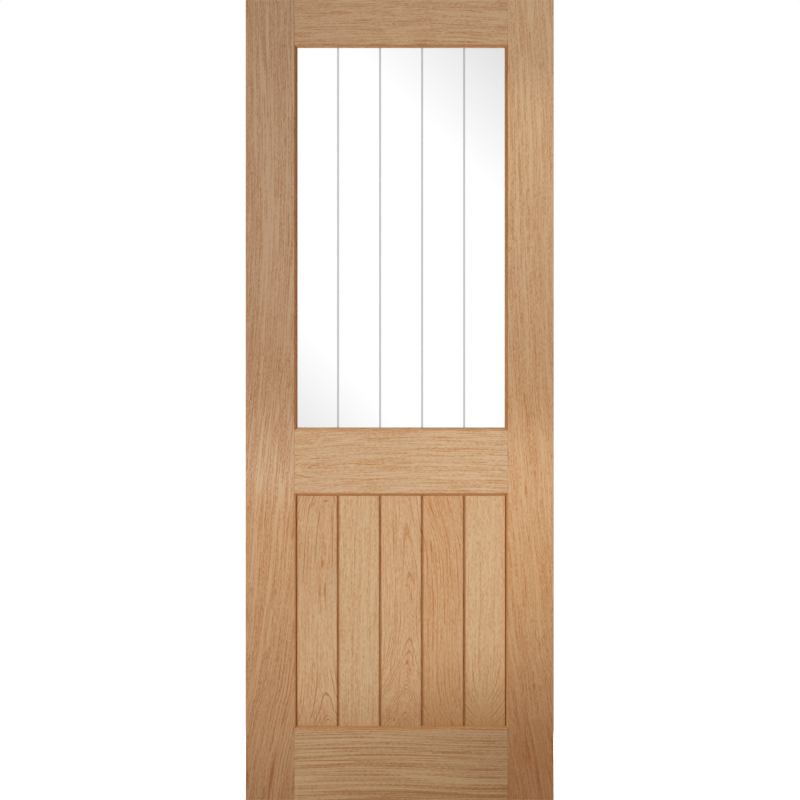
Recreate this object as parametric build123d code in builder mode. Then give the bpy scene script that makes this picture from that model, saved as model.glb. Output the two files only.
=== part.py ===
# Half-glazed oak door leaf: a frame of stiles and rails, a glazed upper light and a boarded lower panel.
# X runs across the width from the hinge edge, Y through the thickness with the front face at negative Y,
# and Z up from the floor. The foot of the hinge edge, at mid-thickness, is the origin. Millimetres.
import os

from build123d import *

os.makedirs("parts", exist_ok=True)

# Leaf
door_width = 762
door_height = 1981
door_thickness = 35

# Frame members as they show on the face
hinge_stile_width = 120.5
lock_stile_width = 113.5
top_rail_height = 111
lock_rail_height = 155
bottom_rail_height = 177
panel_opening_height = 583
joint_bevel = 0.5

# Solid lippings on the two long edges
lipping_thickness = 6
edge_round = 1.5

# Stub tenons on the rails and their mortises in the stiles
tenon_thickness = 12
tenon_length = 45
tenon_shoulder = 20
mortise_clearance = 0.2
mortise_end_gap = 1

# Glass, its etched lines and the beads that hold it
glass_thickness = 6
glass_edge_gap = 3
etched_line_width = 5
etched_line_depth = 0.3
bead_width = 7.5
bead_round = 5.2
bead_setback = 0.8

# Boards of the lower panel and the mouldings that trap their tongues
board_count = 5
board_thickness = 18
board_bevel = 3.5
board_gap = 0.4
tongue_thickness = 5.7
tongue_length = 6
tongue_clearance = 0.15
groove_end_gap = 0.6
panel_edge_gap = 0.5
moulding_width = 3.8
moulding_height = 6.5
moulding_flat_share = 0.15

# Levels of the rails and edges of the two openings
lock_rail_bottom = bottom_rail_height + panel_opening_height
lock_rail_top = lock_rail_bottom + lock_rail_height
top_rail_bottom = door_height - top_rail_height
opening_left = hinge_stile_width
opening_right = door_width - lock_stile_width
opening_width = opening_right - opening_left
opening_middle = (opening_left + opening_right) / 2
rail_spans = {
    "top_rail": (top_rail_bottom, door_height),
    "lock_rail": (lock_rail_bottom, lock_rail_top),
    "bottom_rail": (0, bottom_rail_height),
}

# Field of the panel inside its mouldings, shared out evenly among the boards
field_left = opening_left + moulding_width
field_right = opening_right - moulding_width
field_bottom = bottom_rail_height + moulding_height
field_top = lock_rail_bottom - moulding_height
board_pitch = (field_right - field_left) / board_count
board_recess = (door_thickness - board_thickness) / 2
groove_width = tongue_thickness + 2 * tongue_clearance
joint_lines = [field_left + board_pitch * joint for joint in range(1, board_count)]
board_edges = [field_left, *joint_lines, field_right]

front_plane = Plane.XZ
faces_of_leaf = {"front": Vector(0, -1, 0), "back": Vector(0, 1, 0)}


def rectangle_between(left, right, bottom, top):
    with Locations(((left + right) / 2, (bottom + top) / 2)):
        Rectangle(right - left, top - bottom)


# Stiles: full-height uprights with a mortise for each rail
for name, outer, inner in (
    ("hinge_stile", lipping_thickness, opening_left),
    ("lock_stile", door_width - lipping_thickness, opening_right),
):
    toward_rails = 1 if inner > outer else -1
    with BuildPart() as stile:
        with BuildSketch(Plane.XY):
            rectangle_between(min(outer, inner), max(outer, inner), -door_thickness / 2, door_thickness / 2)
        extrude(amount=door_height)
        inner_face = stile.faces().sort_by(Axis.X)[-1 if inner > outer else 0]
        chamfer(inner_face.edges().filter_by(Axis.Z), length=joint_bevel)
        with BuildSketch(Plane.YZ.offset(inner)):
            for bottom, top in rail_spans.values():
                rectangle_between(
                    -tenon_thickness / 2 - mortise_clearance,
                    tenon_thickness / 2 + mortise_clearance,
                    bottom + tenon_shoulder - mortise_clearance,
                    top - tenon_shoulder + mortise_clearance,
                )
        extrude(amount=-toward_rails * (tenon_length + mortise_end_gap), mode=Mode.SUBTRACT)
    stile.part.label = name
    export_step(stile.part, f"parts/{name}.step")

# Lippings: strips on the long edges, rounded at their outer arrises
for name, outer, inner in (
    ("hinge_edge_lipping", 0, lipping_thickness),
    ("lock_edge_lipping", door_width, door_width - lipping_thickness),
):
    with BuildPart() as lipping:
        with BuildSketch(Plane.XY):
            rectangle_between(min(outer, inner), max(outer, inner), -door_thickness / 2, door_thickness / 2)
        extrude(amount=door_height)
        outer_face = lipping.faces().sort_by(Axis.X)[0 if inner > outer else -1]
        fillet(outer_face.edges().filter_by(Axis.Z), radius=edge_round)
    lipping.part.label = name
    export_step(lipping.part, f"parts/{name}.step")

# Rails: eased at the joints, with a stub tenon at each end
for name, (bottom, top) in rail_spans.items():
    with BuildPart() as rail:
        with BuildSketch(Plane.YZ.offset(opening_left)):
            rectangle_between(-door_thickness / 2, door_thickness / 2, bottom, top)
        extrude(amount=opening_width)
        chamfer(rail.faces().filter_by(Axis.Y).edges(), length=joint_bevel)
        with BuildSketch(Plane.YZ.offset(opening_left - tenon_length)):
            rectangle_between(
                -tenon_thickness / 2, tenon_thickness / 2, bottom + tenon_shoulder, top - tenon_shoulder
            )
        extrude(amount=opening_width + 2 * tenon_length)
    rail.part.label = name
    export_step(rail.part, f"parts/{name}.step")

# Glass: one sheet with a gap to the frame, etched in line with the board joints
glass_span = (
    opening_left + glass_edge_gap,
    opening_right - glass_edge_gap,
    lock_rail_top + glass_edge_gap,
    top_rail_bottom - glass_edge_gap,
)
with BuildPart() as glass_pane:
    with BuildSketch(front_plane.offset(glass_thickness / 2)):
        rectangle_between(*glass_span)
    extrude(amount=-glass_thickness)
    with BuildSketch(front_plane.offset(glass_thickness / 2)):
        for line in joint_lines:
            rectangle_between(line - etched_line_width / 2, line + etched_line_width / 2, *glass_span[2:])
    extrude(amount=-etched_line_depth, mode=Mode.SUBTRACT)
glass_pane.part.label = "glass_pane"
export_step(glass_pane.part, "parts/glass_pane.step")


# Sides of an opening: the middle of each, the way to the centre of the opening and the length
def opening_sides(bottom, top):
    middle = (bottom + top) / 2
    return {
        "top": (Vector(opening_middle, 0, top), Vector(0, 0, -1), opening_width),
        "bottom": (Vector(opening_middle, 0, bottom), Vector(0, 0, 1), opening_width),
        "hinge_side": (Vector(opening_left, 0, middle), Vector(1, 0, 0), top - bottom),
        "lock_side": (Vector(opening_right, 0, middle), Vector(-1, 0, 0), top - bottom),
    }


# The plane of a mitred bar's show face: along the side, toward the centre of the opening and out of the leaf
def show_plane(start, inward, outward, height):
    return Plane(origin=start + outward * height, x_dir=inward.cross(outward), z_dir=outward)


# The outline of that face: full length against the frame, shorter at each mitre by its neighbour's width
def mitred_outline(length, width, neighbour_width):
    half = length / 2
    inner_half = half - neighbour_width
    Polygon((-half, 0), (half, 0), (inner_half, width), (-inner_half, width), align=None)


def inner_show_edge(show_face, inward):
    return show_face.edges().sort_by(Axis((0, 0, 0), inward))[-1]


# Glazing beads: quarter-rounded toward the glass, set back from the face of the leaf
bead_height = door_thickness / 2 - bead_setback
for face_name, outward in faces_of_leaf.items():
    for side_name, (start, inward, length) in opening_sides(lock_rail_top, top_rail_bottom).items():
        with BuildPart() as bead:
            with BuildSketch(show_plane(start, inward, outward, bead_height)):
                mitred_outline(length, bead_width, bead_width)
            extrude(amount=glass_thickness / 2 - bead_height)
            show_face = bead.faces().sort_by(Axis((0, 0, 0), outward))[-1]
            fillet(inner_show_edge(show_face, inward), radius=bead_round)
        bead.part.label = f"glazing_bead_{face_name}_{side_name}"
        export_step(bead.part, f"parts/{bead.part.label}.step")

# Panel mouldings: flush with the leaf, bevelled down to the boards, the level ones broader than the upright
for face_name, outward in faces_of_leaf.items():
    for side_name, (start, inward, length) in opening_sides(bottom_rail_height, lock_rail_bottom).items():
        is_level = side_name in ("top", "bottom")
        width = moulding_height if is_level else moulding_width
        neighbour_width = moulding_width if is_level else moulding_height
        with BuildPart() as moulding:
            with BuildSketch(show_plane(start, inward, outward, door_thickness / 2)):
                mitred_outline(length, width, neighbour_width)
            extrude(amount=(groove_width - door_thickness) / 2)
            show_face = moulding.faces().sort_by(Axis((0, 0, 0), outward))[-1]
            chamfer(
                inner_show_edge(show_face, inward),
                length=width * (1 - moulding_flat_share),
                length2=board_recess,
                reference=show_face,
            )
        moulding.part.label = f"panel_moulding_{face_name}_{side_name}"
        export_step(moulding.part, f"parts/{moulding.part.label}.step")

# Boards: long edges bevelled, ends square, tongued into the mouldings and into each other
tongue_bottom = bottom_rail_height + panel_edge_gap
tongue_top = lock_rail_bottom - panel_edge_gap
for index in range(board_count):
    left = board_edges[index] + board_gap / 2
    right = board_edges[index + 1] - board_gap / 2
    is_first = index == 0
    is_last = index == board_count - 1
    with BuildPart() as board:
        with BuildSketch(front_plane.offset(board_thickness / 2)):
            rectangle_between(left, right, field_bottom + board_gap / 2, field_top - board_gap / 2)
        extrude(amount=-board_thickness)
        chamfer(board.faces().filter_by(Axis.Y).edges().filter_by(Axis.Z), length=board_bevel)
        with BuildSketch(front_plane.offset(tongue_thickness / 2)):
            rectangle_between(
                opening_left + panel_edge_gap if is_first else left,
                opening_right - panel_edge_gap if is_last else right + board_gap + tongue_length,
                tongue_bottom,
                tongue_top,
            )
        extrude(amount=-tongue_thickness)
        if not is_first:
            with BuildSketch(front_plane.offset(groove_width / 2)):
                rectangle_between(left, left + tongue_length + groove_end_gap, tongue_bottom, tongue_top)
            extrude(amount=-groove_width, mode=Mode.SUBTRACT)
    board.part.label = f"panel_board_{index + 1}"
    export_step(board.part, f"parts/{board.part.label}.step")
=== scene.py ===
import math

import bmesh
import bpy
from mathutils import Matrix, Vector


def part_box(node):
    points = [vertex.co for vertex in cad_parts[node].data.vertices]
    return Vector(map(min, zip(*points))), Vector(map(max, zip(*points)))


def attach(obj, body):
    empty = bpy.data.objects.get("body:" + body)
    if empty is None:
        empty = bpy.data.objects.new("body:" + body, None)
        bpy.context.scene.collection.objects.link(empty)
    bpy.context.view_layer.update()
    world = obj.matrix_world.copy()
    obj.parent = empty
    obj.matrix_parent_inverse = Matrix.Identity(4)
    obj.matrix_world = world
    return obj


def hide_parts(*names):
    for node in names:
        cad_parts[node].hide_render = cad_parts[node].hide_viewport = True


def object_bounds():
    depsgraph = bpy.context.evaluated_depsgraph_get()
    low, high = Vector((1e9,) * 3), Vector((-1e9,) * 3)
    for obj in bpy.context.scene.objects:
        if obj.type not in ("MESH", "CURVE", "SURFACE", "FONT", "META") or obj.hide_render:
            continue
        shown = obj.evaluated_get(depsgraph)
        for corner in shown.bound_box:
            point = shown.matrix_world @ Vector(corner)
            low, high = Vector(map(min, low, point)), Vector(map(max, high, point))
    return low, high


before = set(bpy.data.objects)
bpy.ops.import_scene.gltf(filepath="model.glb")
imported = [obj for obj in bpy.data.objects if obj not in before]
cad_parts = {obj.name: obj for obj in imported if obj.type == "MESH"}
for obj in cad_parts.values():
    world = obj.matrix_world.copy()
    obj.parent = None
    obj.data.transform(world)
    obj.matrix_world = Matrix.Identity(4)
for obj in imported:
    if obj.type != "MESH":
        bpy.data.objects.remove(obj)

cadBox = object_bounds()
scene = bpy.context.scene
doorWide, doorDeep, doorHigh = cadBox[1] - cadBox[0]
print("frame loaded:", len(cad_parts), "nodes")


def tone(red, green, blue):  # a screen colour, 0 to 255, as the shader wants it
    def linear(part):
        part /= 255
        return part / 12.92 if part <= 0.04045 else ((part + 0.055) / 1.055) ** 2.4

    return (linear(red), linear(green), linear(blue), 1.0)


# small helpers for materials and their nodes
def newMaterial(name):
    material = bpy.data.materials.new(name)
    material.use_nodes = True
    return material, material.node_tree, material.node_tree.nodes["Principled BSDF"]


def addNode(tree, kind, **settings):
    made = tree.nodes.new(kind)
    for name, value in settings.items():
        setattr(made, name, value)
    return made


def feed(tree, socket, value):  # a link from another node, or a fixed value
    if isinstance(value, bpy.types.NodeSocket):
        tree.links.new(value, socket)
    else:
        socket.default_value = value


def feedAll(tree, sockets, values):
    for socket, value in zip(sockets, values):
        feed(tree, socket, value)


def maths(tree, operation, *values, clamp=False):
    made = addNode(tree, "ShaderNodeMath", operation=operation, use_clamp=clamp)
    feedAll(tree, made.inputs, values)
    return made.outputs[0]


def vectors(tree, operation, *values):
    made = addNode(tree, "ShaderNodeVectorMath", operation=operation)
    feedAll(tree, made.inputs, values)
    return made.outputs["Value" if operation in ("LENGTH", "DOT_PRODUCT") else "Vector"]


def joined(tree, *numbers):
    made = addNode(tree, "ShaderNodeCombineXYZ")
    feedAll(tree, made.inputs, numbers)
    return made.outputs[0]


def parted(tree, vector):
    made = addNode(tree, "ShaderNodeSeparateXYZ")
    feed(tree, made.inputs[0], vector)
    return made.outputs


def noise(tree, place, stretch, detail=2.0, rough=0.5, output="Fac"):
    made = addNode(tree, "ShaderNodeTexNoise")
    feed(tree, made.inputs["Vector"], vectors(tree, "MULTIPLY", place, stretch))
    made.inputs["Scale"].default_value = 1.0
    made.inputs["Detail"].default_value = detail
    made.inputs["Roughness"].default_value = rough
    return made.outputs[output]


def noiseAlong(tree, value, scale, detail=1.0):  # a noise that varies with one number
    made = addNode(tree, "ShaderNodeTexNoise", noise_dimensions="1D")
    feed(tree, made.inputs["W"], value)
    made.inputs["Scale"].default_value = scale
    made.inputs["Detail"].default_value = detail
    return made.outputs["Fac"]


def spread(tree, value, low, high, toLow=0.0, toHigh=1.0, smooth=False):
    made = addNode(tree, "ShaderNodeMapRange", interpolation_type="SMOOTHSTEP" if smooth else "LINEAR")
    feedAll(tree, made.inputs, (value, low, high, toLow, toHigh))
    return made.outputs[0]


def ramp(tree, value, stops, interpolation):  # each stop a place from 0 to 1, then three numbers
    made = addNode(tree, "ShaderNodeValToRGB")
    made.color_ramp.interpolation = interpolation
    elements = made.color_ramp.elements
    while len(elements) < len(stops):
        elements.new(0.5)
    for element, (at, *numbers) in zip(elements, stops):
        element.position = at
        element.color = (*numbers, 1.0)
    feed(tree, made.inputs["Fac"], value)
    return made.outputs["Color"]


def curve(tree, value, stops, interpolation="EASE"):  # one number along a ramp
    return ramp(tree, value, [(at, *[number] * 3) for at, number in stops], interpolation)


def smoothCurves(tree, value, stops):  # three numbers along a ramp
    made = addNode(tree, "ShaderNodeSeparateColor")
    feed(tree, made.inputs[0], ramp(tree, value, stops, "CARDINAL"))
    return made.outputs


def mixed(tree, factor, first, second):
    made = addNode(tree, "ShaderNodeMix", data_type="RGBA")
    feedAll(tree, (made.inputs[0], made.inputs[6], made.inputs[7]), (factor, first, second))
    return made.outputs[2]


def mixedShader(tree, factor, first, second):
    made = addNode(tree, "ShaderNodeMixShader")
    feedAll(tree, made.inputs, (factor, first, second))
    return made.outputs[0]


def showSurface(tree, surface):
    feed(tree, tree.nodes["Material Output"].inputs["Surface"], surface)


# oak: growth rings round a heart that wanders behind the face, with flecks, threads and pores along the
# fibres; each size is given to a metre, across and along them
oakLook = {
    "grain": "Z",  # the axis that the fibres follow
    "seed": 0.0,
    "seedShares": (1.0, 0.7, 1.3),  # of the seed, across, into the piece and along
    # colour: the tints multiply the tone
    "tone": (204, 163, 123),
    "paleTint": (1.11, 1.21, 1.35),  # between the lines
    "lineTint": (0.82, 0.56, 0.33),  # in the lines
    "baseShade": 0.24,  # of plain wood, on the way from the pale tint to the line tint
    # the stain darkens each piece where its stops say, mostly toward the foot: partly stain, partly painted
    # shade
    "stainAndShadeTint": (0.46, 0.36, 0.28),
    "warmthAndShade": (),  # stops from the foot: place from 0 to 1, and how strong a warmer, slightly darker cast is there: painted shade along the piece
    "warmthAndShadeTint": (1.0, 0.93, 0.79),
    "bevel": None,  # from mid-thickness, the depths between which the bevels turn deeper in colour
    "bevelTone": (170, 120, 75),
    "bevelShadeDark": (84, 54, 30),  # painted shade in the grooves, deepest toward the foot: the tone the bevels are taken toward
    "bevelShadeShare": 0.5,  # the share of the stain and painted shade that reaches them
    # stops from the foot to the head, or from the hinge side on a rail: place from 0 to 1, then in metres
    # the heart's place across and behind the face and the rise of its rings, then strength of lines and of
    # stain and painted shade
    "heart": ((0.0, 0.12, 0.05, 0.0, 0.7, 0.0), (1.0, 0.12, 0.05, 0.0, 0.7, 0.0)),
    "wander": 0.008,  # how far the fibres drift
    "wanderSize": (7.0, 2.3),
    "tremble": 0.0012,  # and how far they shake
    "trembleSize": (70.0, 22.0),
    # rings and the lines in them
    "ringWidth": 0.007,
    "uneven": 1.6,  # rings
    "unevenPace": 0.37,  # changes to a ring
    "lines": 0.95,
    "lineWidth": 0.3,  # of a ring
    "linePace": 0.83,  # changes in strength to a ring
    "lineNoise": (0.3, 0.65),  # the part of the noise that takes the lines
    "lineRange": (0.35, 1.15),  # from the weakest to the strongest
    "dashes": 14.0,  # breaks in the lines to a metre along
    "dashesDeep": 30.0,  # and into the piece
    "dashStretch": (0.9, 1.0, 1.0),
    "dashNoise": (0.36, 0.62),
    "clearHeart": 0.0,  # no lines so near the heart
    "clearShare": 0.4,  # of that way without any
    "knots": (),  # across from the middle, along from 0 to 1, size
    "knotLong": 1.8,  # length to width
    "knotEdge": (0.4, 1.3),  # sizes from the middle, where the dark begins to fade and where it ends
    "knotBend": 2.0,  # sizes that the rings give way
    "knotReach": 8.0,  # sizes within which they do
    # what lies along the fibres
    "layerNoise": (0.3, 0.7),  # the part of the noise that takes a layer from pale to dark
    "fleck": 0.3,
    "fleckSize": (800.0, 130.0),
    "fibres": 0.3,
    "fibreSize": (460.0, 22.0),
    "fibreRough": 0.7,
    "streak": 0.05,
    "streakSize": (75.0, 5.0),
    "threads": 0.0,  # fine pale lines
    "threadSize": (120.0, 0.9),
    "threadEdge": (0.01, 0.06),
    "threadRange": (-1.0, 0.3),  # from a thread to the wood between
    "patch": 0.08,
    "patchSize": (28.0, 4.0),
    "pores": 0.15,
    "poreSize": (1300.0, 110.0),
    "poreNoise": (0.55, 0.68),
    "poreLine": 0.7,  # strength of a line that has all its pores
    "poreRange": (0.45, 1.0),  # share of them between the lines and in such a line
    "marks": (),  # single streaks: across and along from the middle, half width and length, lean, strength
    "markEdge": (0.2, 1.0),  # from the middle of a mark, where it begins to fade and where it ends
    # lacquer
    "rough": (0.42, 0.58),  # from pale wood to dark
    "specular": 0.25,
    "relief": 0.15,
    "reliefDepth": 0.0003,
    "poreRelief": -0.6,
    "lineRelief": -0.3,
    "fleckRelief": -0.08,
}
heartReach = 0.25  # metres either way


def heartPath(tree, share, stops):
    places = []
    strengths = []
    for at, across, behind, rise, lines, stainAndShade in stops:
        places.append((at, *[0.5 + metres / (2 * heartReach) for metres in (across, behind, rise)]))
        strengths.append((at, lines, stainAndShade, 0.0))
    parts = smoothCurves(tree, share, places)
    path = [spread(tree, part, 0.0, 1.0, -heartReach, heartReach) for part in parts]
    shown = smoothCurves(tree, share, strengths)
    return *path, shown[0], shown[1]


def fibreNoise(tree, fibre, size, detail, rough=0.5, output="Fac"):
    return noise(tree, fibre, (size[0], *size), detail, rough, output)


def sway(tree, fibre, size, detail, reach):  # a shift to either side, as far as the reach
    drawn = fibreNoise(tree, fibre, size, detail, output="Color")
    shift = vectors(tree, "SUBTRACT", drawn, (0.5, 0.5, 0.5))
    return vectors(tree, "MULTIPLY", shift, (reach * 2, reach * 2, 0.0))


def woodGrain(tree, look, low, high):
    # across the face, into the piece and along the fibres, from the middle of the piece
    turn = Matrix.Identity(3) if look["grain"] == "Z" else Matrix.Rotation(-math.pi / 2, 3, "Y")
    mapping = addNode(tree, "ShaderNodeMapping")
    mapping.inputs["Rotation"].default_value = turn.to_euler()
    mapping.inputs["Location"].default_value = -(turn @ ((low + high) / 2))
    feed(tree, mapping.inputs["Vector"], addNode(tree, "ShaderNodeTexCoord").outputs["Object"])
    place = mapping.outputs["Vector"]
    across, depth, along = parted(tree, place)
    size = turn @ (high - low)
    deep, long = abs(size.y), abs(size.z)
    share = spread(tree, along, -long / 2, long / 2)
    heartAcross, heartBehind, rise, lineShow, stainAndShade = heartPath(tree, share, look["heart"])

    # the fibres follow the heart, drift slowly and tremble a little
    aside = maths(tree, "SUBTRACT", across, heartAcross)
    fibre = joined(tree, aside, depth, along)
    fibre = vectors(tree, "ADD", fibre, [look["seed"] * part for part in look["seedShares"]])
    slow = sway(tree, fibre, look["wanderSize"], detail=2.0, reach=look["wander"])
    quick = sway(tree, fibre, look["trembleSize"], detail=0.0, reach=look["tremble"])
    shift = vectors(tree, "ADD", slow, quick)
    fibre = vectors(tree, "ADD", fibre, shift)

    # the way from the heart, counted in metres of rings
    inward = maths(tree, "SUBTRACT", heartBehind, maths(tree, "ADD", depth, deep / 2))
    radius = vectors(tree, "LENGTH", vectors(tree, "ADD", joined(tree, aside, inward, 0.0), shift))
    return {
        "place": vectors(tree, "ADD", place, shift), "across": across, "depth": depth, "along": along,
        "long": long, "share": share, "aside": aside, "fibre": fibre,
        "radius": maths(tree, "ADD", radius, rise), "lineShow": lineShow, "stainAndShade": stainAndShade,
    }


def growthRings(tree, look, grain):  # uneven in width and bent round the knots
    radius = grain["radius"]
    knotSpots = 0.0
    for knotAcross, knotShare, size in look["knots"]:
        gapAcross = maths(tree, "SUBTRACT", grain["across"], knotAcross)
        gapAcross = maths(tree, "DIVIDE", gapAcross, size)
        gapAlong = maths(tree, "SUBTRACT", grain["along"], (knotShare - 0.5) * grain["long"])
        gapAlong = maths(tree, "DIVIDE", gapAlong, size * look["knotLong"])
        gap = vectors(tree, "LENGTH", joined(tree, gapAcross, gapAlong, 0.0))
        bend = spread(tree, gap, 0.0, look["knotReach"], size * look["knotBend"], 0.0, smooth=True)
        radius = maths(tree, "ADD", radius, bend)
        spot = spread(tree, gap, *look["knotEdge"], 1.0, 0.0, smooth=True)
        knotSpots = maths(tree, "MAXIMUM", knotSpots, spot)
    ring = maths(tree, "DIVIDE", radius, look["ringWidth"])
    uneven = maths(tree, "MULTIPLY", noiseAlong(tree, ring, look["unevenPace"]), look["uneven"])
    return maths(tree, "ADD", ring, uneven), knotSpots


def ringLines(tree, look, grain, ring):  # of varied strength, broken into dashes
    width = look["lineWidth"]
    # across a ring from 0 to 1: a line starts sharply and fades out over its width
    stops = ((0.0, 0.15), (0.06, 1.0), (width / 2, 0.75), (width, 0.0), (0.95, 0.0), (1.0, 0.15))
    earlyWood = curve(tree, maths(tree, "FRACT", ring), stops)
    dashDeep = maths(tree, "MULTIPLY", grain["depth"], look["dashesDeep"])
    dashAlong = maths(tree, "MULTIPLY", grain["along"], look["dashes"])
    dashPlace = vectors(tree, "ADD", joined(tree, ring, dashDeep, dashAlong), [look["seed"]] * 3)
    dash = noise(tree, dashPlace, look["dashStretch"], detail=0.0)
    lines = maths(tree, "MULTIPLY", earlyWood, spread(tree, dash, *look["dashNoise"], smooth=True))
    variety = noiseAlong(tree, ring, look["linePace"], detail=0.0)
    lines = maths(tree, "MULTIPLY", lines, spread(tree, variety, *look["lineNoise"], *look["lineRange"]))
    lines = maths(tree, "MULTIPLY", lines, grain["lineShow"])
    if look["clearHeart"]:
        clearEdge = (look["clearHeart"] * look["clearShare"], look["clearHeart"])
        away = spread(tree, maths(tree, "ABSOLUTE", grain["aside"]), *clearEdge, smooth=True)
        lines = maths(tree, "MULTIPLY", lines, away)
    return earlyWood, lines


def fibreLayers(tree, look, fibre, earlyWood):
    def layer(kind, detail, rough=0.5):
        drawn = fibreNoise(tree, fibre, look[kind + "Size"], detail, rough)
        return spread(tree, drawn, *look["layerNoise"], -1.0, 1.0)

    threads = fibreNoise(tree, fibre, look["threadSize"], detail=1.0)
    threads = maths(tree, "ABSOLUTE", maths(tree, "SUBTRACT", threads, 0.5))
    pores = fibreNoise(tree, fibre, look["poreSize"], detail=1.0)
    pores = spread(tree, pores, *look["poreNoise"], smooth=True)
    poreShare = spread(tree, earlyWood, 0.0, look["poreLine"], *look["poreRange"])
    return {
        "fleck": layer("fleck", detail=0.0),
        "fibres": layer("fibre", detail=1.0, rough=look["fibreRough"]),
        "streak": layer("streak", detail=1.0),
        "threads": spread(tree, threads, *look["threadEdge"], *look["threadRange"], smooth=True),
        "patch": layer("patch", detail=2.0),
        "pores": maths(tree, "MULTIPLY", pores, poreShare),
    }


def singleMark(tree, look, grain, across, along, halfWide, halfLong, lean, strength):
    spot = addNode(tree, "ShaderNodeMapping", vector_type="TEXTURE")
    spot.inputs["Location"].default_value = (across, 0.0, along)
    spot.inputs["Rotation"].default_value = (0.0, math.atan(lean), 0.0)
    spot.inputs["Scale"].default_value = (halfWide, 1.0, halfLong)
    feed(tree, spot.inputs["Vector"], grain["place"])
    gap = vectors(tree, "LENGTH", spot.outputs[0])
    return spread(tree, gap, *look["markEdge"], strength, 0.0, smooth=True)


def woodColour(tree, look, grain):  # the tone of the piece with its stain, its painted shade and warm cast along it, and its bevels
    plain = tone(*look["tone"])
    stainedAndShaded = tuple(part * tint for part, tint in zip(plain, (*look["stainAndShadeTint"], 1.0)))
    # darker where the stops say: partly stain, partly painted shade
    wood = mixed(tree, grain["stainAndShade"], plain, stainedAndShaded)
    if look["warmthAndShade"]:
        # a warmer, slightly darker cast: painted shade along the piece
        warmShadeShare = curve(tree, grain["share"], look["warmthAndShade"])
        wood = mixed(tree, warmShadeShare, wood, vectors(tree, "MULTIPLY", wood, look["warmthAndShadeTint"]))
    if look["bevel"]:
        fromMiddle = parted(tree, addNode(tree, "ShaderNodeTexCoord").outputs["Object"])["Y"]
        inBevel = spread(tree, maths(tree, "ABSOLUTE", fromMiddle), *look["bevel"], 1.0, 0.0)
        # painted shade in the grooves, growing with the stain and shade toward the foot
        bevelShadeShare = maths(tree, "MULTIPLY", grain["stainAndShade"], look["bevelShadeShare"])
        bevelWoodShaded = mixed(tree, bevelShadeShare, tone(*look["bevelTone"]), tone(*look["bevelShadeDark"]))
        wood = mixed(tree, inBevel, wood, bevelWoodShaded)
    return wood


def oakMaterial(name, low, high, **changes):
    look = {**oakLook, **changes}
    material, tree, shader = newMaterial(name)
    grain = woodGrain(tree, look, low, high)
    ring, knotSpots = growthRings(tree, look, grain)
    earlyWood, lines = ringLines(tree, look, grain, ring)
    layers = fibreLayers(tree, look, grain["fibre"], earlyWood)

    # shade from 0 between the lines to 1 in the darkest
    shade = maths(tree, "MULTIPLY", lines, look["lines"])
    for layerName, layer in layers.items():
        shade = maths(tree, "ADD", shade, maths(tree, "MULTIPLY", layer, look[layerName]))
    for mark in look["marks"]:
        shade = maths(tree, "ADD", shade, singleMark(tree, look, grain, *mark))
    shade = maths(tree, "ADD", shade, look["baseShade"], clamp=True)
    if look["knots"]:
        shade = maths(tree, "MAXIMUM", shade, knotSpots)
    wood = woodColour(tree, look, grain)
    paler = vectors(tree, "MULTIPLY", wood, look["paleTint"])
    redder = vectors(tree, "MULTIPLY", wood, look["lineTint"])
    feed(tree, shader.inputs["Base Color"], mixed(tree, shade, paler, redder))

    # satin lacquer that sinks a little at the pores
    feed(tree, shader.inputs["Roughness"], spread(tree, shade, 0.0, 1.0, *look["rough"]))
    shader.inputs["Specular IOR Level"].default_value = look["specular"]
    bump = addNode(tree, "ShaderNodeBump")
    bump.inputs["Strength"].default_value = look["relief"]
    bump.inputs["Distance"].default_value = look["reliefDepth"]
    poreRelief = maths(tree, "MULTIPLY", layers["pores"], look["poreRelief"])
    lineRelief = maths(tree, "MULTIPLY", lines, look["lineRelief"])
    fleckRelief = maths(tree, "MULTIPLY", layers["fleck"], look["fleckRelief"])
    relief = maths(tree, "ADD", maths(tree, "ADD", poreRelief, lineRelief), fleckRelief)
    feed(tree, bump.inputs["Height"], relief)
    feed(tree, shader.inputs["Normal"], bump.outputs["Normal"])
    return material


# a CAD node's loose triangles, merged into whole faces
cadCopy = {"weld": 1e-6, "flat": 1.0}  # metres, degrees


def copyOfNode(nodeName):
    shape = bmesh.new()
    shape.from_mesh(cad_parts[nodeName].data)
    bmesh.ops.remove_doubles(shape, verts=shape.verts, dist=cadCopy["weld"])
    bmesh.ops.dissolve_limit(
        shape,
        angle_limit=math.radians(cadCopy["flat"]),
        verts=shape.verts,
        edges=shape.edges,
        use_dissolve_boundaries=False,
    )
    return shape


def placed(shape, name, *materials):  # the finished shape as an object in the scene
    mesh = bpy.data.meshes.new(name)
    shape.to_mesh(mesh)
    shape.free()
    for material in materials:
        mesh.materials.append(material)
    made = bpy.data.objects.new(name, mesh)
    scene.collection.objects.link(made)
    return made


# a CAD node's shape with its sharp arrises eased, as a joiner sands them
arris = {
    "sharp": 25.0,  # degrees
    "segments": 2,
    "ease": {
        "oak_stile": 0.0005, "oak_lipping": 0.0003, "oak_rail": 0.0005,
        "oak_board": 0.0004, "oak_bead": 0.0003, "oak_moulding": 0.0003,
    },
}


def easedCopy(nodeName, slot, material):
    shape = copyOfNode(nodeName)
    sharp = math.radians(arris["sharp"])
    bmesh.ops.bevel(
        shape,
        geom=[edge for edge in shape.edges if len(edge.link_faces) == 2 and edge.calc_face_angle() > sharp],
        offset=arris["ease"][slot],
        offset_type="OFFSET",
        affect="EDGES",
        segments=arris["segments"],
        profile=0.5,
        material=-1,
        clamp_overlap=True,
    )
    bmesh.ops.recalc_face_normals(shape, faces=shape.faces)
    piece = placed(shape, nodeName + "_oak", material)
    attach(piece, "root")
    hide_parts(nodeName)


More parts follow.
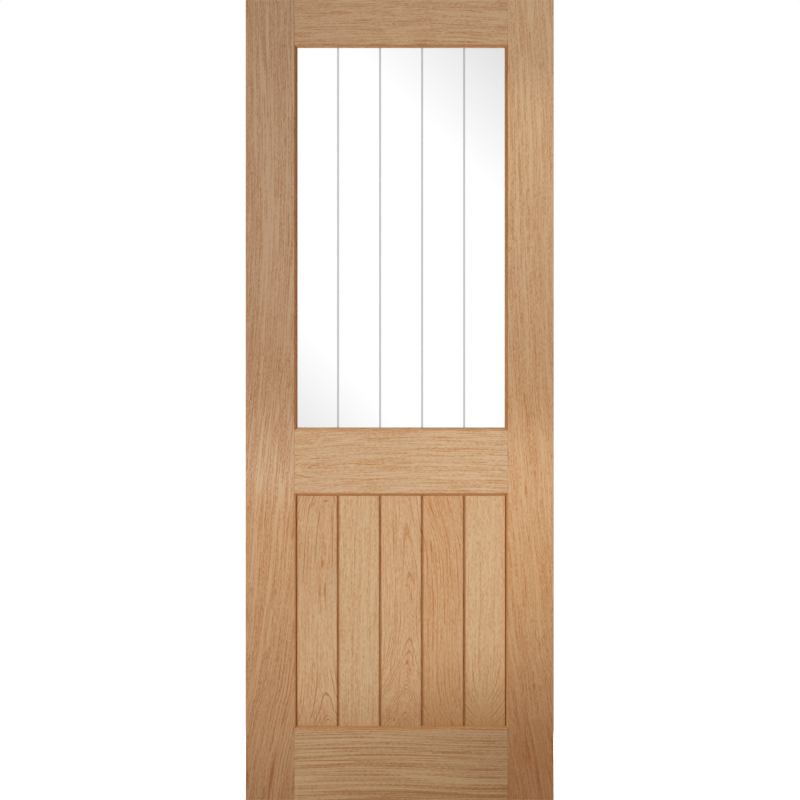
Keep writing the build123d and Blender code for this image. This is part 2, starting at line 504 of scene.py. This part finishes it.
# stiles and their lippings
straightGrain = {
    "tremble": 0.0005, "dashes": 2.0, "fleck": 0.34, "fibres": 0.4, "fibreSize": (720.0, 12.0),
    "streak": 0.03, "streakSize": (150.0, 1.2), "threads": 0.52,
}
stiles = {
    "hinge_stile": {
        **straightGrain,
        "tone": (205, 165, 127), "lineTint": (0.76, 0.56, 0.38), "seed": 3.1,
        "ringWidth": 0.0075, "lines": 0.22, "streak": 0.05,
        "marks": (
            (-0.001, -0.93, 0.007, 0.10, 0.15, 0.7), (0.006, -0.83, 0.004, 0.12, 0.2, 0.45),
            (0.017, -0.81, 0.004, 0.09, 0.22, -0.3), (0.027, -0.79, 0.010, 0.03, 0.2, 0.3),
            (0.052, -0.335, 0.005, 0.022, 0.1, 0.5), (0.048, -0.27, 0.022, 0.12, 0.0, 0.22),
        ),
        "warmthAndShade": ((0.0, 1.0), (0.34, 1.0), (0.42, 0.0), (0.5, 0.3), (0.65, 0.0)),
        "heart": (
            (0.0, 0.080, 0.03, 0.0, 1.0, 0.75), (0.06, 0.098, 0.03, 0.0, 1.0, 0.64),
            (0.13, 0.129, 0.03, 0.0, 0.9, 0.53), (0.25, 0.166, 0.03, 0.0, 0.7, 0.385),
            (0.36, 0.185, 0.03, 0.0, 0.65, 0.3), (0.41, 0.194, 0.03, 0.0, 0.6, 0.19),
            (0.47, 0.205, 0.03, 0.0, 0.6, 0.43), (0.53, 0.216, 0.03, 0.0, 0.6, 0.55),
            (0.64, 0.231, 0.03, 0.0, 0.6, 0.49), (0.8, 0.239, 0.03, 0.0, 0.6, 0.38),
            (1.0, 0.232, 0.03, 0.0, 0.6, 0.35),
        ),
    },
    "lock_stile": {
        **straightGrain,
        "tone": (219, 177, 133), "lineTint": (0.80, 0.56, 0.35), "seed": 11.4,
        "ringWidth": 0.0085, "lines": 0.08, "patch": 0.05, "streak": 0.01, "threads": 0.38,
        "marks": (
            (-0.002, -0.88, 0.006, 0.11, -0.16, 0.6), (0.018, -0.90, 0.006, 0.11, -0.16, 0.35),
            (-0.011, -0.46, 0.003, 0.05, -0.06, 0.5), (0.006, -0.80, 0.004, 0.10, -0.14, -0.25),
            (-0.033, -0.94, 0.004, 0.05, -0.28, 0.45),
        ),
        "warmthAndShade": (
            (0.0, 0.8), (0.15, 0.7), (0.28, 1.0), (0.38, 0.62),
            (0.47, 0.5), (0.67, 0.02), (0.84, 0.25), (0.95, 0.0),
        ),
        "heart": (
            (0.0, -0.070, 0.03, 0.0, 1.0, 1.0), (0.05, -0.088, 0.03, 0.0, 1.0, 1.0),
            (0.1, -0.108, 0.03, 0.0, 1.0, 0.90), (0.18, -0.135, 0.03, 0.0, 0.8, 0.61),
            (0.33, -0.166, 0.03, 0.0, 0.7, 0.335), (0.43, -0.183, 0.03, 0.0, 0.6, 0.275),
            (0.5, -0.196, 0.03, 0.0, 0.6, 0.50), (0.63, -0.213, 0.03, 0.0, 0.6, 0.40),
            (0.85, -0.221, 0.03, 0.0, 0.7, 0.0), (0.92, -0.228, 0.03, 0.0, 0.7, 0.17),
            (1.0, -0.240, 0.03, 0.0, 0.8, 0.15),
        ),
    },
}
for nodeName, look in stiles.items():
    easedCopy(nodeName, "oak_stile", oakMaterial(nodeName, *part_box(nodeName), **look))

lippings = {
    "hinge_edge_lipping": {**stiles["hinge_stile"], "tone": (206, 161, 118), "seed": 21.0},
    "lock_edge_lipping": {**stiles["lock_stile"], "tone": (219, 175, 131), "seed": 24.0},
}
for nodeName, look in lippings.items():
    easedCopy(nodeName, "oak_lipping", oakMaterial(nodeName, *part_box(nodeName), **look))
print("stiles and lippings done")

# rails
rails = {
    "top_rail": {
        **straightGrain,
        "grain": "X", "tone": (204, 162, 121), "lineTint": (0.79, 0.56, 0.36), "seed": 31.0,
        "ringWidth": 0.0055, "lines": 0.12, "fibres": 0.56, "streak": 0.04, "threads": 0.26,
        "knots": ((0.004, 0.47, 0.0022),),
        "heart": (
            (0.0, 0.15, 0.03, 0.0, 0.8, 0.265), (0.5, 0.147, 0.03, 0.0, 0.8, 0.06),
            (1.0, 0.15, 0.03, 0.0, 0.8, 0.0),
        ),
    },
    "lock_rail": {
        **straightGrain,
        "grain": "X", "tone": (201, 165, 125), "lineTint": (0.86, 0.56, 0.30), "seed": 37.0,
        "ringWidth": 0.008, "lines": 0.45, "lineWidth": 0.2,
        "fibres": 0.46, "fibreSize": (600.0, 8.0), "streak": 0.03, "threads": 0.2,
        "knots": ((0.014, 0.56, 0.0018),),
        "marks": (
            (0.006, -0.072, 0.0022, 0.05, 0.0, 0.5), (0.010, -0.030, 0.0018, 0.03, -0.05, 0.55),
            (0.013, 0.008, 0.0016, 0.03, 0.0, 0.5), (0.003, -0.125, 0.0016, 0.03, 0.05, 0.4),
            (0.036, -0.243, 0.002, 0.03, 0.22, 0.5), (0.024, -0.236, 0.0016, 0.03, 0.2, 0.4),
            (0.007, 0.19, 0.0018, 0.035, 0.0, 0.4), (0.016, -0.165, 0.0016, 0.04, 0.1, 0.4),
            (-0.026, 0.09, 0.0014, 0.06, 0.0, 0.3),
        ),
        "heart": (
            (0.0, 0.02, 0.02, 0.03, 1.0, 0.22), (0.1, 0.018, 0.02, 0.016, 1.0, 0.2),
            (0.25, 0.012, 0.02, 0.006, 0.8, 0.19), (0.5, 0.006, 0.02, 0.0, 0.6, 0.15),
            (0.75, 0.006, 0.02, 0.0, 0.6, 0.02), (1.0, 0.01, 0.02, 0.002, 0.6, 0.0),
        ),
    },
    "bottom_rail": {
        **straightGrain,
        "grain": "X", "tone": (178, 140, 99), "lineTint": (0.74, 0.56, 0.40), "seed": 43.0,
        "stainAndShadeTint": (0.46, 0.33, 0.18),
        "ringWidth": 0.006, "wander": 0.004, "tremble": 0.0003, "lines": 0.4, "fleck": 0.34,
        "fibres": 0.44, "fibreSize": (480.0, 3.0), "streak": 0.19, "streakSize": (190.0, 0.8),
        "marks": (
            (0.008, 0.20, 0.0018, 0.09, 0.0, -0.6), (-0.042, 0.14, 0.0022, 0.15, 0.01, 0.6),
            (-0.034, 0.19, 0.0018, 0.10, -0.01, 0.5), (0.014, 0.21, 0.0018, 0.07, 0.0, 0.6),
            (0.070, 0.12, 0.0025, 0.17, 0.01, 0.5), (0.037, 0.215, 0.016, 0.05, 0.0, 0.35),
            (-0.055, -0.15, 0.0025, 0.11, 0.0, -0.35), (-0.018, -0.02, 0.0018, 0.14, 0.01, -0.35),
            (0.088, 0.0, 0.045, 0.9, 0.0, 0.4),
        ),
        "heart": (
            (0.0, -0.14, 0.02, 0.0, 1.0, 0.0), (0.4, -0.146, 0.02, 0.0, 1.0, 0.06),
            (0.7, -0.14, 0.02, 0.0, 1.0, 0.16), (1.0, -0.136, 0.02, 0.0, 1.0, 0.38),
        ),
    },
}
for nodeName, look in rails.items():
    easedCopy(nodeName, "oak_rail", oakMaterial(nodeName, *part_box(nodeName), **look))
print("rails done")

# boards of the panel, each from another plank
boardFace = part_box("panel_board_1")[1].y
# depths below the face, where the colour of the bevels is full and where it ends
bevelEdge = {"full": 0.0003, "none": 0.00005}
panelGrain = {
    "wander": 0.005, "stainAndShadeTint": (0.42, 0.27, 0.05), "fleck": 0.26, "fleckSize": (700.0, 110.0),
    "fibres": 0.24, "fibreSize": (480.0, 12.0), "threads": 0.12, "patch": 0.05, "pores": 0.25,
    "bevel": (boardFace - bevelEdge["full"], boardFace - bevelEdge["none"]),
}
boards = {
    "panel_board_1": {
        **panelGrain,
        "tone": (195, 156, 115), "seed": 53.0, "ringWidth": 0.008, "lines": 1.4, "dashes": 9.0,
        "marks": (
            (0.022, 0.272, 0.009, 0.004, 0.0, 0.8), (-0.014, 0.262, 0.002, 0.018, 0.25, 0.7),
            (-0.021, 0.255, 0.002, 0.018, 0.25, 0.6), (-0.006, 0.268, 0.002, 0.014, 0.25, 0.6),
            (0.013, 0.116, 0.007, 0.016, 0.0, 0.5),
        ),
        "heart": (
            (0.0, 0.030, 0.012, -0.0280, 1.0, 0.32), (0.02, 0.029, 0.012, -0.0200, 1.0, 0.29),
            (0.05, 0.027, 0.012, -0.0120, 1.0, 0.24), (0.08, 0.025, 0.012, -0.0040, 1.0, 0.185),
            (0.145, 0.022, 0.012, 0.0040, 0.95, 0.07), (0.27, 0.016, 0.014, 0.0120, 0.62, 0.015),
            (0.55, 0.012, 0.016, 0.0140, 0.55, 0.08), (0.7, 0.015, 0.016, 0.0150, 0.65, 0.14),
            (0.86, 0.018, 0.016, 0.0180, 0.65, 0.09), (0.95, 0.022, 0.014, 0.0240, 0.8, 0.09),
            (1.0, 0.024, 0.014, 0.0320, 0.8, 0.09),
        ),
    },
    "panel_board_2": {
        **panelGrain,
        "tone": (194, 156, 114), "seed": 59.0, "ringWidth": 0.010, "lines": 0.3,
        "fleck": 0.3, "fibres": 0.2, "threads": 0.24, "patch": 0.03,
        "knots": ((0.02, 0.067, 0.0014),),
        "heart": (
            (0.0, -0.10, 0.03, 0.0, 0.7, 0.27), (0.15, -0.098, 0.03, 0.0, 0.6, 0.08),
            (0.3, -0.097, 0.03, 0.0, 0.5, 0.0), (1.0, -0.09, 0.03, 0.0, 0.5, 0.0),
        ),
    },
    "panel_board_3": {
        **panelGrain,
        "tone": (197, 157, 115), "seed": 61.0, "ringWidth": 0.006,
        "lines": 1.5, "lineWidth": 0.34, "dashes": 7.0,
        "knots": ((0.0186, 0.248, 0.0028), (-0.021, 0.037, 0.0026)),
        "marks": (
            (0.012, 0.063, 0.003, 0.007, -0.6, 0.8), (0.023, 0.036, 0.002, 0.018, -0.15, 0.9),
            (0.018, 0.055, 0.002, 0.012, -0.15, 0.7),
        ),
        "heart": (
            (0.0, 0.004, 0.004, -0.101, 1.0, 0.47), (0.05, 0.005, 0.004, -0.080, 1.0, 0.41),
            (0.1, 0.006, 0.004, -0.061, 1.0, 0.25), (0.16, 0.009, 0.004, -0.041, 1.0, 0.14),
            (0.25, 0.013, 0.005, -0.016, 0.8, 0.04), (0.31, 0.016, 0.009, -0.006, 0.66, 0.02),
            (0.4, 0.02, 0.016, 0.0, 0.5, 0.01), (0.65, 0.02, 0.02, 0.004, 0.46, 0.02),
            (1.0, 0.006, 0.02, 0.016, 0.5, 0.01),
        ),
    },
    "panel_board_4": {
        **panelGrain,
        "tone": (196, 151, 106), "seed": 67.0, "ringWidth": 0.009, "wander": 0.008,
        "marks": (
            (-0.032, 0.252, 0.002, 0.03, -0.4, 0.8), (-0.031, 0.209, 0.002, 0.018, -0.5, 0.8),
            (-0.033, 0.16, 0.002, 0.02, -0.22, 0.9), (-0.025, 0.111, 0.002, 0.045, -0.1, 0.6),
            (-0.015, 0.242, 0.002, 0.016, -0.3, 0.5), (-0.021, 0.017, 0.002, 0.03, -0.15, 0.5),
            (-0.028, 0.04, 0.003, 0.10, -0.06, 0.4), (-0.023, -0.155, 0.0022, 0.07, 0.0, -0.5),
            (-0.016, -0.15, 0.002, 0.07, 0.0, 0.45),
        ),
        "heart": (
            (0.0, -0.060, 0.02, -0.03, 0.9, 0.58), (0.06, -0.064, 0.02, -0.012, 0.8, 0.46),
            (0.16, -0.068, 0.02, 0.0, 0.7, 0.28), (0.33, -0.070, 0.02, 0.0, 0.7, 0.05),
            (0.6, -0.072, 0.02, 0.0, 0.9, 0.02), (0.8, -0.082, 0.02, 0.0, 1.0, 0.0),
            (1.0, -0.112, 0.02, 0.0, 1.0, 0.0),
        ),
    },
    "panel_board_5": {
        **panelGrain,
        "tone": (204, 165, 122), "seed": 71.0, "ringWidth": 0.0058, "clearHeart": 0.02,
        "lines": 2.1, "lineWidth": 0.36, "dashes": 5.0, "fleck": 0.26, "fibres": 0.18, "patch": 0.03,
        "knots": ((0.045, 0.041, 0.0014),),
        "heart": (
            (0.0, -0.007, 0.008, 0.085, 0.8, 0.69), (0.05, -0.007, 0.008, 0.056, 1.0, 0.59),
            (0.1, -0.007, 0.008, 0.032, 1.0, 0.48), (0.16, -0.004, 0.010, 0.014, 0.9, 0.36),
            (0.25, 0.0, 0.012, 0.003, 0.5, 0.175), (0.4, 0.002, 0.014, 0.0, 0.2, 0.045),
            (1.0, 0.006, 0.014, 0.0, 0.2, 0.0),
        ),
    },
}
for nodeName, look in boards.items():
    easedCopy(nodeName, "oak_board", oakMaterial(nodeName, *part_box(nodeName), **look))
print("boards done")

# glazing beads and panel mouldings, mitred
edgingGrain = {"lines": 0.3, "fleck": 0.2}
edgingSeed = 80.0
# each side of a bead or moulding gets its own tone: painted light and shade on one wood
edgings = {
    "glazing_bead": {
        "slot": "oak_bead",
        "tones": {
            "hinge_side": (150, 96, 47), "lock_side": (166, 110, 57),
            "top": (181, 130, 82), "bottom": (191, 146, 98),
        },
    },
    "panel_moulding": {
        "slot": "oak_moulding",
        "tones": {
            "hinge_side": (203, 146, 87), "lock_side": (195, 139, 82),
            "top": (184, 131, 80), "bottom": (186, 132, 81),
        },
    },
}
for kind, look in edgings.items():
    # a copy of the oak for each side, with the painted light and shade of its tone
    for side, toneWithPaintedShade in look["tones"].items():
        nodeNames = [kind + "_" + face + "_" + side for face in ("front", "back")]
        sideGrain = {
            **edgingGrain,
            "grain": "Z" if side.endswith("side") else "X",
            "tone": toneWithPaintedShade,
            "seed": edgingSeed + len(kind) + len(side),
        }
        material = oakMaterial(kind + "_" + side, *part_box(nodeNames[0]), **sideGrain)
        for nodeName in nodeNames:
            easedCopy(nodeName, look["slot"], material)
print("beads and mouldings done")

# glass: one pane whose shallow channels are ground matt
glass = {
    "clear": (0.995, 1.0, 0.998, 1.0), "clearRough": 0.0,
    "matt": (0.31, 0.31, 0.31, 1.0), "mattRough": 0.55,
    "ior": 1.5,
    "skin": 1e-5,  # a face deeper than this is in a channel
}


def glassMaterial(name, colour, rough):
    material, tree, shader = newMaterial(name)
    shader.inputs["Base Color"].default_value = colour
    shader.inputs["Roughness"].default_value = rough
    shader.inputs["IOR"].default_value = glass["ior"]
    shader.inputs["Transmission Weight"].default_value = 1.0
    through = addNode(tree, "ShaderNodeBsdfTransparent")  # lamps shine through the pane
    through.inputs["Color"].default_value = colour
    forShadows = addNode(tree, "ShaderNodeLightPath").outputs["Is Shadow Ray"]
    showSurface(tree, mixedShader(tree, forShadows, shader.outputs["BSDF"], through.outputs["BSDF"]))
    return material


def paneOfGlass():
    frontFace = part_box("glass_pane")[0].y
    shape = copyOfNode("glass_pane")
    bmesh.ops.recalc_face_normals(shape, faces=shape.faces)
    for face in shape.faces:
        looksForward = face.normal.y < -0.9
        inChannel = looksForward and face.calc_center_median().y > frontFace + glass["skin"]
        face.material_index = 1 if inChannel else 0
    clear = glassMaterial("clear glass", glass["clear"], glass["clearRough"])
    ground = glassMaterial("ground glass", glass["matt"], glass["mattRough"])
    piece = placed(shape, "glass_pane_etched", clear, ground)
    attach(piece, "root")
    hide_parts("glass_pane")


paneOfGlass()
print("glass done")

# floor and room
room = {
    "floor": 30.0,  # metres either way
    "drop": 0.0005,  # under the foot of the leaf
    "floorPale": 0.55,  # as light bounces off it
    "floorGlow": 0.66,  # as it is seen, with what the lamps add
    "floorSeen": 0.96,
    "ambient": 0.36,
}


def rayIsSeen(tree):  # 1 for what the eye sees directly, in glass or in a shine
    path = addNode(tree, "ShaderNodeLightPath")
    seen = maths(tree, "MAXIMUM", path.outputs["Is Camera Ray"], path.outputs["Is Glossy Ray"])
    return maths(tree, "MAXIMUM", seen, path.outputs["Is Transmission Ray"])


def paleDiffuse(tree, pale):
    made = addNode(tree, "ShaderNodeBsdfDiffuse")
    made.inputs["Color"].default_value = (pale, pale, pale, 1.0)
    return made.outputs[0]


def floorMaterial():
    material, tree, plain = newMaterial("pale floor")
    tree.nodes.remove(plain)
    glow = addNode(tree, "ShaderNodeEmission")
    glow.inputs["Strength"].default_value = room["floorGlow"]
    both = addNode(tree, "ShaderNodeAddShader")
    feedAll(tree, both.inputs, (glow.outputs[0], paleDiffuse(tree, room["floorSeen"])))
    bounce = paleDiffuse(tree, room["floorPale"])
    showSurface(tree, mixedShader(tree, rayIsSeen(tree), bounce, both.outputs[0]))
    return material


def makeFloor():
    shape = bmesh.new()
    bmesh.ops.create_grid(shape, x_segments=1, y_segments=1, size=room["floor"])
    bmesh.ops.translate(shape, verts=shape.verts, vec=(doorWide / 2, 0.0, -room["drop"]))
    floor = placed(shape, "floor", floorMaterial())


makeFloor()

world = bpy.data.worlds.new("studio")
scene.world = world
world.use_nodes = True
worldTree = world.node_tree
background = worldTree.nodes["Background"]
background.inputs["Color"].default_value = (1.0, 1.0, 1.0, 1.0)
strength = spread(worldTree, rayIsSeen(worldTree), 0.0, 1.0, room["ambient"], 1.0)
worldTree.links.new(strength, background.inputs["Strength"])

# a white card behind the leaf, seen only through the glass, with a soft grey band at two of its corners:
# painted reflection in the pane
card = {
    "behind": 0.6, "wide": 1.6, "low": 0.0, "high": 2.6,
    # across and up added together, in metres, and how pale the card is there
    "paintedReflectionBands": ((0.75, 1.0), (1.055, 0.81), (1.30, 1.0), (2.16, 1.0), (2.53, 0.745), (2.87, 1.0)),
}


def cardMaterial():
    material, tree, plain = newMaterial("white card")
    tree.nodes.remove(plain)
    place = addNode(tree, "ShaderNodeTexCoord").outputs["Object"]
    lastBand = card["paintedReflectionBands"][-1][0]
    slant = spread(tree, vectors(tree, "DOT_PRODUCT", place, (1.0, 0.0, 1.0)), 0.0, lastBand)
    glow = addNode(tree, "ShaderNodeEmission")
    # painted reflection: the grey bands seen through the pane
    grey = curve(tree, slant, [(at / lastBand, pale) for at, pale in card["paintedReflectionBands"]], "LINEAR")
    feed(tree, glow.inputs["Color"], grey)
    showSurface(tree, glow.outputs[0])
    return material


def makeCard():
    cardHigh = card["high"] - card["low"]
    cardPlace = (doorWide / 2, card["behind"], (card["low"] + card["high"]) / 2)
    shape = bmesh.new()
    bmesh.ops.create_grid(shape, x_segments=1, y_segments=1, size=0.5)  # a metre square
    bmesh.ops.rotate(shape, verts=shape.verts, cent=(0, 0, 0), matrix=Matrix.Rotation(math.pi / 2, 3, "X"))
    bmesh.ops.scale(shape, verts=shape.verts, vec=(card["wide"], 1.0, cardHigh))
    bmesh.ops.translate(shape, verts=shape.verts, vec=cardPlace)
    backing = placed(shape, "white_card", cardMaterial())
    backing.visible_camera = backing.visible_diffuse = False
    backing.visible_glossy = backing.visible_shadow = False


makeCard()

# lamps: a soft key from the left, a weaker fill from the right, a low one in front and one for the back
lamps = {
    "key": {"at": (-2.2, -3.0, 0.9), "to": (0.381, 0.0, 0.8), "size": 1.2, "power": 54.0, "shine": True},
    "fill": {"at": (2.96, -3.0, 0.9), "to": (0.381, 0.0, 0.8), "size": 1.2, "power": 17.0, "shine": True},
    "front": {"at": (0.381, -1.3, 0.76), "to": (0.381, 0.0, 0.76), "size": 0.5, "power": 5.6, "shine": False},
    "back": {"at": (1.4, 3.2, 1.4), "to": (0.381, 0.0, 1.0), "size": 1.4, "power": 72.0, "shine": False},
}
for lampName, setup in lamps.items():
    light = bpy.data.lights.new(lampName, "AREA")
    light.shape = "SQUARE"
    light.size = setup["size"]
    light.energy = setup["power"]
    lamp = bpy.data.objects.new(lampName, light)
    lamp.location = setup["at"]
    lamp.rotation_euler = (Vector(setup["to"]) - Vector(setup["at"])).to_track_quat("-Z", "Y").to_euler()
    lamp.visible_camera = lamp.visible_transmission = False
    lamp.visible_glossy = setup["shine"]
    scene.collection.objects.link(lamp)
print("floor, room and lamps done")

# camera: square on to the front, the leaf filling the height of the picture
shot = {"lens": 300.0, "sensor": 36.0, "aside": 0.00075, "closer": 0.9992, "farthest": 100.0}
cameraData = bpy.data.cameras.new("camera")
cameraData.lens = shot["lens"]
cameraData.sensor_width = shot["sensor"]
cameraData.clip_end = shot["farthest"]
camera = bpy.data.objects.new("camera", cameraData)
distance = doorHigh * shot["lens"] / shot["sensor"] * shot["closer"]
camera.location = (doorWide / 2 + shot["aside"], -doorDeep / 2 - distance, doorHigh / 2)
camera.rotation_euler = (math.pi / 2, 0.0, 0.0)
scene.collection.objects.link(camera)
scene.camera = camera
scene.view_settings.view_transform = "Standard"
